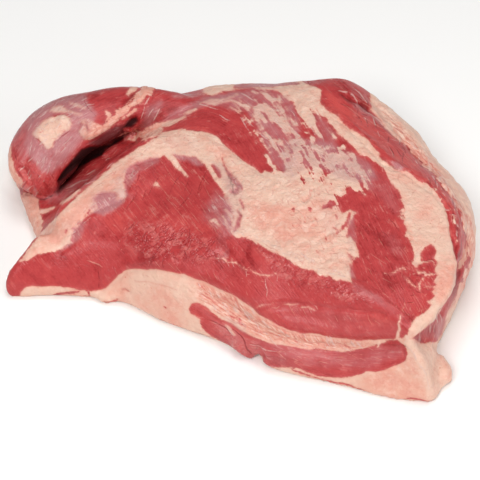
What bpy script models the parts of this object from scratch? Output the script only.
"""A whole raw beef brisket, boneless, lying fat side down on a flat surface.

One piece of meat is one solid. The slab is worked out from its wall at named places round its outline
and from spot heights on its upper side. A muscle flap lies folded over its back left part, over a
trough, and leaves a deep crease under its edge. Lines of relief then add the ridges, seams and hollows
that show. All sizes are in millimetres until the mesh is made, in metres. Before the mesh is centred on
its foot, x runs from the thin end to the thick end and y from the long cut face to the back.
"""

import math

import bpy
import numpy as np

METRE = 0.001

# The wall of the slab, place by place, anticlockwise from the thin end as seen from above:
# foot (x, y) on the ground, waist (x, y, z) halfway up, and brow (x, y, z) where the upper side begins.
WALL = (
    ("thin end", (-199, -31), (-200, -28, 14), (-192, -23, 28)),
    ("front left", (-154, -32), (-156, -30, 18), (-153, -16, 39)),
    ("front bend", (-104, -38), (-106, -34, 19), (-108, -16, 50)),
    ("fat shoulder", (-63, -65), (-64, -57, 28), (-64, -40, 56)),
    ("front middle", (-12, -89), (-14, -83, 30), (-8, -55, 72)),
    ("long face left", (26, -117), (27, -106, 34), (25, -68, 79)),
    ("long face right", (78, -136), (78, -124, 35), (78, -102, 80)),
    ("long face end", (117, -150), (113, -139, 36), (107, -120, 78)),
    ("near corner", (155, -153), (144, -150, 33), (134, -143, 71)),
    ("corner skirt", (164, -126), (156, -125, 27), (151, -127, 72)),
    ("right front", (162, -98), (164, -92, 38), (167, -103, 76)),
    ("right bulge", (181, -45), (188, -42, 41), (176, -60, 80)),
    ("right middle", (190, -4), (198, -4, 43), (172, -14, 84)),
    ("right back", (188, 48), (195, 48, 46), (151, 24, 88)),
    ("back right", (165, 92), (173, 92, 48), (121, 56, 91)),
    ("right shoulder", (146, 134), (153, 139, 51), (96, 92, 92)),
    ("back lobe", (115, 162), (122, 172, 51), (95, 156, 90)),
    ("back corner", (80, 175), (83, 181, 47), (68, 162, 87)),
    ("back middle", (24, 174), (24, 182, 43), (24, 163, 81)),
    ("back left", (-37, 168), (-37, 177, 38), (-37, 160, 75)),
    ("flap root", (-98, 166), (-99, 175, 34), (-97, 158, 69)),
    ("flap corner", (-158, 163), (-164, 168, 26), (-154, 148, 58)),
    ("far left", (-203, 145), (-210, 147, 16), (-196, 134, 30)),
    ("left edge", (-193, 90), (-197, 90, 14), (-187, 88, 21)),
    ("left notch", (-176, 38), (-179, 36, 14), (-170, 38, 24)),
    ("left nick", (-170, 5), (-173, 4, 14), (-166, 6, 31)),
)

# Spot heights of the upper side (x, y, z), inside the brow.
SPOT_HEIGHTS = (
    # the crest of the fat band, from the thin end up to the thick part
    (-183, -15, 35),
    (-171, -2, 44),
    (-153, 15, 54),
    (-132, 34, 63),
    (-118, 52, 69),
    (-104, 67, 73),
    (-78, 84, 79),
    # the trough behind it, under the flap
    (-160, 40, 33),
    (-158, 58, 30),
    (-137, 74, 34),
    (-112, 104, 39),
    (-99, 124, 46),
    (-172, 62, 25),
    (-178, 100, 28),
    (-148, 98, 27),
    (-168, 124, 46),
    (-132, 134, 56),
    # the front muscle
    (-150, 0, 48),
    (-121, 8, 58),
    (-96, -2, 62),
    (-74, 12, 71),
    (-68, -19, 68),
    (-20, -40, 77),
    (-40, -16, 76),
    (0, -28, 80),
    (52, -54, 83),
    (95, -84, 82),
    (128, -108, 79),
    # the middle
    (-71, 60, 78),
    (-46, 76, 81),
    (-19, 50, 82),
    (28, 24, 86),
    (84, -4, 89),
    (126, -34, 87),
    # the back
    (-56, 112, 77),
    (-24, 124, 84),
    (19, 84, 89),
    (70, 70, 92),
    (40, 124, 91),
    (24, 146, 89),
    (-24, 144, 85),
    (66, 146, 94),
    (86, 136, 95),
)

# The folded flap: (x, y, z) down its middle, half its width and half its thickness, root to tip.
FLAP = (
    ((-44, 136, 69), 15, 13),
    ((-68, 140, 71), 19, 16),
    ((-94, 140, 71), 23, 18),
    ((-122, 132, 69), 28, 20),
    ((-148, 121, 65), 34, 22),
    ((-167, 106, 58), 36, 22),
    ((-176, 88, 48), 31, 20),
    ((-178, 73, 39), 20, 15),
)

# Relief: how far a line stands out of the surface, or in if below zero, its half width, and its points.
RELIEF = (
    ("crest of the fat band", 3, 7, ((-168, 0, 46), (-153, 15, 54), (-118, 52, 69), (-78, 84, 79))),
    ("edge of the front muscle", -2, 4, ((-108, -34, 20), (-89, -38, 38), (-67, -46, 47), (-48, -55, 50),
                                         (-31, -65, 49))),
    ("fat knob in the crease", 4, 7, ((-93, 96, 75), (-84, 99, 78))),
    ("seam in the long face", -5, 6, ((-29, -73, 42), (0, -91, 36), (28, -109, 30), (59, -117, 31),
                                      (88, -126, 36), (119, -135, 48))),
    ("lower muscle", 3, 9, ((-8, -86, 14), (24, -113, 15), (60, -125, 16), (93, -133, 20), (118, -138, 29))),
    ("recess under the right rim", -10, 10, ((140, -140, 54), (156, -124, 47), (168, -98, 46))),
    ("groove below the right rim", -5, 7, ((118, 146, 72), (141, 100, 69), (166, 54, 65), (179, 28, 62),
                                           (187, -16, 59), (186, -47, 57), (178, -82, 53))),
    ("corner edge", 3, 6, ((134, -148, 60), (150, -152, 25), (155, -157, 4))),
    ("corner skirt", 12, 9, ((165, -129, 8), (168, -124, 8))),
    ("nub under the front bend", 8, 6, ((-115, -38, 2), (-112, -39, 2))),
    ("edge of the flap", 3, 5, ((-137, 101, 70), (-115, 116, 66), (-95, 130, 72), (-80, 145, 78))),
    ("notch beside the lower muscle", -5, 6, ((13, -104, 10), (15, -107, 0))),
    ("crease in the back wall", -3, 8, ((60, 182, 20), (52, 180, 45), (40, 172, 66))),
    ("crease below the flap", -4, 7, ((-196, 150, 34), (-164, 172, 40), (-120, 180, 46))),
)

# Long waves that keep the meat from being even: their height, their lengths and how far up they begin.
SWELL = 0.45
SWELL_LENGTHS = (167, 131, 103, 81, 64)
SWELL_ABOVE = 16
GOLDEN_ANGLE = math.radians(137.5)

# Raw lean beef as the eye has it over the whole piece, in linear light, and its moist sheen.
LEAN = (0.48, 0.065, 0.07, 1.0)
SHEEN_ROUGHNESS = 0.42

# How finely the forms are laid out, evened and thinned, and below what height the meat lies on the ground.
SLAB_AROUND = 400
SLAB_MIDDLE = (10, 18)
TOP_RINGS = 40
WALL_RINGS = 13
FOOT_RINGS = 9
FLAP_ALONG = 60
FLAP_AROUND = 48
FLAP_END_REACH = 0.6
LINE_STEPS = 6
VOXEL = 2.2
FIRST_SMOOTHING = 8
LAST_SMOOTHING = 2
GROUND = 1.0
TRIANGLES = 11000


def cubic(points, closed, count):
    """Evenly spaced points in parameter on a Catmull-Rom curve through the given ones."""
    points = np.asarray(points, float)
    spans = len(points) if closed else len(points) - 1
    at = np.linspace(0, spans, count, endpoint=not closed)
    first = np.minimum(at.astype(int), spans - 1)
    t = (at - first)[:, None]
    if closed:
        picked = [points[(first + k) % len(points)] for k in (-1, 0, 1, 2)]
    else:
        ends = np.vstack([2 * points[0] - points[1], points, 2 * points[-1] - points[-2]])
        picked = [ends[first + k] for k in (0, 1, 2, 3)]
    a, b, c, d = picked
    return 0.5 * (2 * b + (c - a) * t + (2 * a - 5 * b + 4 * c - d) * t**2 + (3 * b - a - 3 * c + d) * t**3)


def bending(distance):
    """The thin plate's kernel, r squared times log r."""
    return distance**2 * np.log(np.maximum(distance, 1e-6))


def upper_side():
    """A function of (x, y) that gives the height of the smoothest plate through the spot heights."""
    brows = [brow for _, _, _, brow in WALL]
    known = np.array(list(SPOT_HEIGHTS) + brows, float)
    flat, z = known[:, :2], known[:, 2]
    size = len(flat)
    plane = np.hstack([np.ones((size, 1)), flat])
    gaps = np.linalg.norm(flat[:, None] - flat[None], axis=2)
    system = np.zeros((size + 3, size + 3))
    system[:size, :size] = bending(gaps)
    system[:size, size:] = plane
    system[size:, :size] = plane.T
    weights = np.linalg.solve(system, np.concatenate([z, np.zeros(3)]))

    def height(xy):
        reach = np.linalg.norm(xy[:, None] - flat[None], axis=2)
        return bending(reach) @ weights[:size] + weights[size] + xy @ weights[size + 1:]

    return height


def mesh_of(name, rings, start, end):
    """A closed mesh from rings of equal length, with a point that closes each end."""
    count, around = len(rings), len(rings[0])
    points = np.vstack([start, np.vstack(rings), end]) * METRE
    ring = np.arange(around)
    following = (ring + 1) % around
    faces = [(0, 1 + b, 1 + a) for a, b in zip(ring, following)]
    for k in range(count - 1):
        low, high = 1 + k * around, 1 + (k + 1) * around
        faces += [(low + a, low + b, high + b, high + a) for a, b in zip(ring, following)]
    last = len(points) - 1
    low = 1 + (count - 1) * around
    faces += [(last, low + a, low + b) for a, b in zip(ring, following)]
    mesh = bpy.data.meshes.new(name)
    mesh.from_pydata(points.tolist(), [], faces)
    mesh.update()
    return mesh


def slab():
    """The slab: rings from the middle of its top, out to the brow, down the wall and in under it."""
    foot = cubic([(*foot, 0) for _, foot, _, _ in WALL], True, SLAB_AROUND)
    waist = cubic([waist for _, _, waist, _ in WALL], True, SLAB_AROUND)
    brow = cubic([brow for _, _, _, brow in WALL], True, SLAB_AROUND)
    height = upper_side()
    middle = np.array(SLAB_MIDDLE, float)
    rings = []
    for share in np.linspace(0, 1, TOP_RINGS + 1)[1:]:
        flat = middle + share * (brow[:, :2] - middle)
        rings.append(np.column_stack([flat, height(flat)]))
    for t in np.linspace(0, 1, WALL_RINGS + 1)[1:]:
        # A parabola through brow, waist and foot.
        rings.append((1 - t) * (1 - 2 * t) * brow + 4 * t * (1 - t) * waist + t * (2 * t - 1) * foot)
    for share in np.linspace(1, 0, FOOT_RINGS + 2)[1:-1]:
        flat = middle + share * (foot[:, :2] - middle)
        rings.append(np.column_stack([flat, np.zeros(SLAB_AROUND)]))
    top = np.array([*middle, height(middle[None])[0]])
    return mesh_of("slab", rings, top, np.array([*middle, 0]))


def flap():
    """The flap: an oval carried along its middle line, upright across it."""
    line = cubic([(*place, half, thick) for place, half, thick in FLAP], False, FLAP_ALONG)
    heading = np.gradient(line[:, :2], axis=0)
    heading /= np.linalg.norm(heading, axis=1)[:, None]
    sideways = np.column_stack([-heading[:, 1], heading[:, 0], np.zeros(FLAP_ALONG)])
    angles = np.linspace(0, 2 * math.pi, FLAP_AROUND, endpoint=False)
    rings = []
    for place, side, half, thick in zip(line[:, :3], sideways, line[:, 3], line[:, 4]):
        across = np.outer(half * np.cos(angles), side)
        upright = np.outer(thick * np.sin(angles), (0, 0, 1))
        rings.append(place + across + upright)
    tip = line[-1, :3] + FLAP_END_REACH * line[-1, 3] * np.array([*heading[-1], 0])
    root = line[0, :3] - FLAP_END_REACH * line[0, 3] * np.array([*heading[0], 0])
    return mesh_of("flap", rings, root, tip)


def applied(obj):
    """The object's mesh with its modifiers applied."""
    bpy.context.view_layer.update()
    graph = bpy.context.evaluated_depsgraph_get()
    return bpy.data.meshes.new_from_object(obj.evaluated_get(graph))


def placed(name, mesh):
    """An object of that name with the mesh, in the scene."""
    obj = bpy.data.objects.new(name, mesh)
    bpy.context.scene.collection.objects.link(obj)
    return obj


def fused():
    """The slab and the flap as one closed mesh of even small faces."""
    body = placed("brisket_form", slab())
    fold = placed("flap_form", flap())
    for obj in (body, fold):
        if inside_out(obj.data):
            obj.data.flip_normals()
    union = body.modifiers.new("flap", "BOOLEAN")
    union.operation = "UNION"
    union.object = fold
    remesh = body.modifiers.new("even", "REMESH")
    remesh.mode = "VOXEL"
    remesh.voxel_size = VOXEL * METRE
    mesh = applied(body)
    for obj in (body, fold):
        bpy.data.objects.remove(obj)
    return mesh


def inside_out(mesh):
    """Whether the closed mesh's faces point inwards, as its signed volume tells."""
    points, triangles = arrays(mesh)
    return np.linalg.det(points[triangles]).sum() < 0


def arrays(mesh):
    """Its points and triangles as arrays, in metres."""
    points = np.empty(len(mesh.vertices) * 3, np.float32)
    mesh.vertices.foreach_get("co", points)
    mesh.calc_loop_triangles()
    triangles = np.empty(len(mesh.loop_triangles) * 3, np.int32)
    mesh.loop_triangles.foreach_get("vertices", triangles)
    return points.reshape(-1, 3).astype(float), triangles.reshape(-1, 3)


def edges_of(mesh):
    """The two ends of every edge."""
    ends = np.empty(len(mesh.edges) * 2, np.int32)
    mesh.edges.foreach_get("vertices", ends)
    return ends.reshape(-1, 2)


def smoothed(points, ends, rounds, share=0.5):
    """Each point moved a share of the way to the mean of its neighbours, again and again."""
    degree = np.bincount(ends.ravel(), minlength=len(points))[:, None]
    for _ in range(rounds):
        total = np.zeros_like(points)
        np.add.at(total, ends[:, 0], points[ends[:, 1]])
        np.add.at(total, ends[:, 1], points[ends[:, 0]])
        points = points + share * (total / degree - points)
    return points


def normals_of(points, triangles):
    """The unit normal at each point, from the triangles round it, each by its area."""
    a, b, c = (points[triangles[:, k]] for k in range(3))
    area = np.cross(b - a, c - a)
    total = np.zeros_like(points)
    for k in range(3):
        np.add.at(total, triangles[:, k], area)
    return total / np.linalg.norm(total, axis=1)[:, None]


def distance_to_line(points, line):
    """How far each point is from the nearest stretch of the line."""
    nearest = np.full(len(points), np.inf)
    for start, end in zip(line[:-1], line[1:]):
        along = end - start
        share = np.clip((points - start) @ along / (along @ along), 0, 1)[:, None]
        nearest = np.minimum(nearest, np.linalg.norm(points - start - share * along, axis=1))
    return nearest


def swell(points):
    """The unevenness of soft meat: long waves, each turned by the golden angle from the last one."""
    rise = np.zeros(len(points))
    for k, length in enumerate(SWELL_LENGTHS):
        turn = GOLDEN_ANGLE * k
        heading = np.array([math.cos(turn), math.sin(turn), 0.6 * math.cos(3 * turn)])
        rise += SWELL * np.sin(2 * math.pi * points @ heading / length + k)
    return rise * np.clip(points[:, 2] / SWELL_ABOVE, 0, 1)


def relieved(points, triangles):
    """The points, in millimetres, moved along their normals by every line of relief, as a bell curve."""
    rise = swell(points)
    for _, lift, half_width, places in RELIEF:
        line = cubic(places, False, LINE_STEPS * len(places))
        rise += lift * np.exp(-((distance_to_line(points, line) / half_width) ** 2))
    return points + rise[:, None] * normals_of(points, triangles)


def formed(mesh):
    """The mesh's points smoothed and relieved, with the underside flat on the ground."""
    points, triangles = arrays(mesh)
    points = smoothed(points, edges_of(mesh), FIRST_SMOOTHING)
    points = relieved(points / METRE, triangles) * METRE
    points = smoothed(points, edges_of(mesh), LAST_SMOOTHING)
    points[points[:, 2] < GROUND * METRE, 2] = 0
    return points


def middle_of_foot(points):
    """The middle of the bottom of the box round the points."""
    low, high = points.min(0), points.max(0)
    return np.array([(low[0] + high[0]) / 2, (low[1] + high[1]) / 2, low[2]])


def raw_beef():
    """The material of the whole piece."""
    material = bpy.data.materials.new("raw beef")
    material.use_nodes = True
    shader = material.node_tree.nodes["Principled BSDF"]
    shader.inputs["Base Color"].default_value = LEAN
    shader.inputs["Roughness"].default_value = SHEEN_ROUGHNESS
    shader.inputs["Metallic"].default_value = 0.0
    return material


def main():
    """Clears the scene and builds the brisket, centred on its foot, with its faces thinned."""
    for obj in list(bpy.data.objects):
        bpy.data.objects.remove(obj)
    mesh = fused()
    points = formed(mesh)
    points -= middle_of_foot(points)
    mesh.vertices.foreach_set("co", points.astype(np.float32).ravel())
    mesh.update()
    mesh.shade_smooth()
    mesh.materials.clear()
    mesh.materials.append(raw_beef())
    brisket = placed("brisket", mesh)
    _, triangles = arrays(mesh)
    thinned = brisket.modifiers.new("fewer faces", "DECIMATE")
    thinned.ratio = TRIANGLES / len(triangles)


main()
